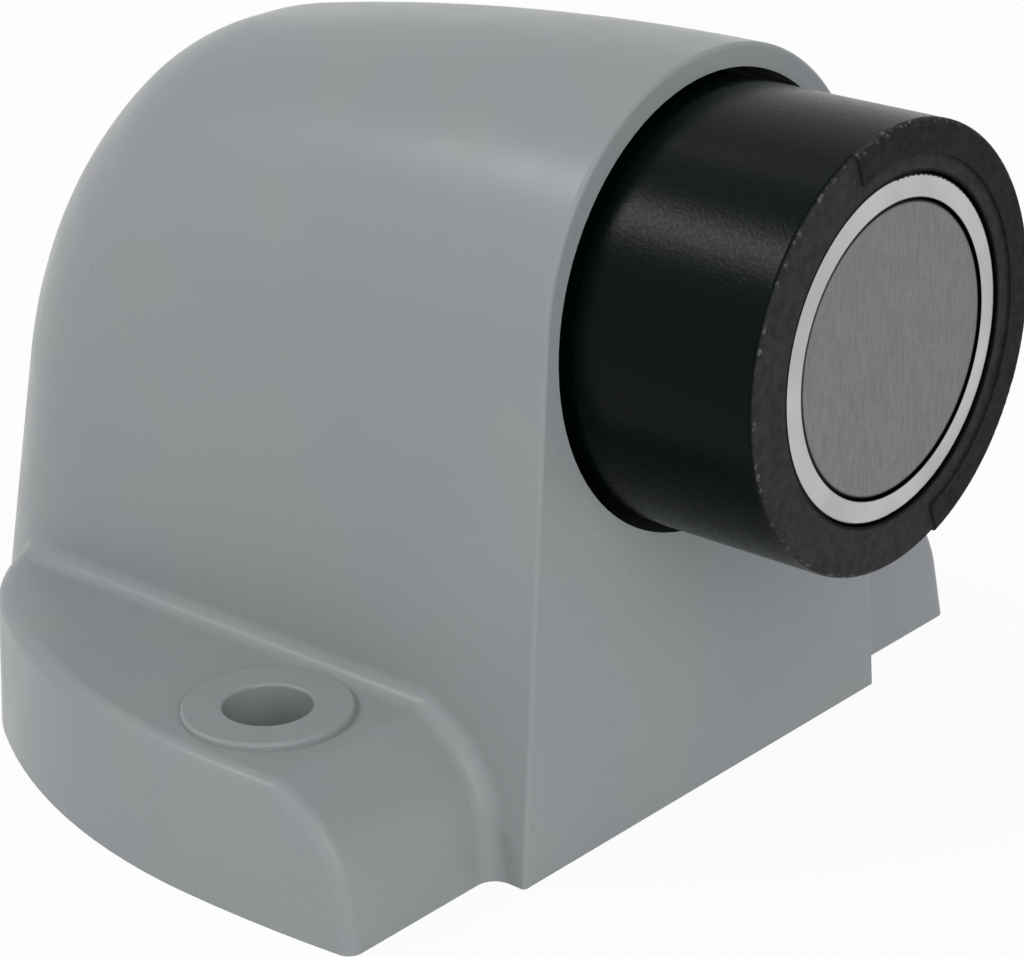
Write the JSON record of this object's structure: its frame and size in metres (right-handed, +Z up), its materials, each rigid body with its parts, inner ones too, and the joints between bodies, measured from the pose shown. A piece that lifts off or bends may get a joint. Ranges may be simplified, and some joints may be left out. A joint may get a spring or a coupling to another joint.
{
  "type": "magnetic door stop",
  "caption": "Floor-mounted door stop: arched cast housing with screw ears, and a rubber buffer that holds the door with a magnet.",
  "frame": {"origin": "on the floor, midway between the two screw holes of the ears", "axes": "+Z up; -Y towards the door, out of the buffer; +X to the right of someone who looks along +Y"},
  "size_m": [0.0948, 0.1067, 0.073],
  "materials": {
    "grey_paint": "satin grey paint on a casting",
    "black_rubber": "smooth moulded rubber, slight sheen",
    "plated_steel": "bright plated pressed steel",
    "magnet_face_metal": "dull ground magnet face",
    "zinc_steel": "zinc-plated steel"
  },
  "bodies": {
    "root": {"housing": "grey_paint", "rubber_buffer": "black_rubber", "magnet_cup": "plated_steel", "magnet_disc": "magnet_face_metal", "threaded_stud": "zinc_steel", "flat_washer": "zinc_steel", "lock_washer": "zinc_steel", "hex_nut": "zinc_steel"}
  },
  "joints": []
}
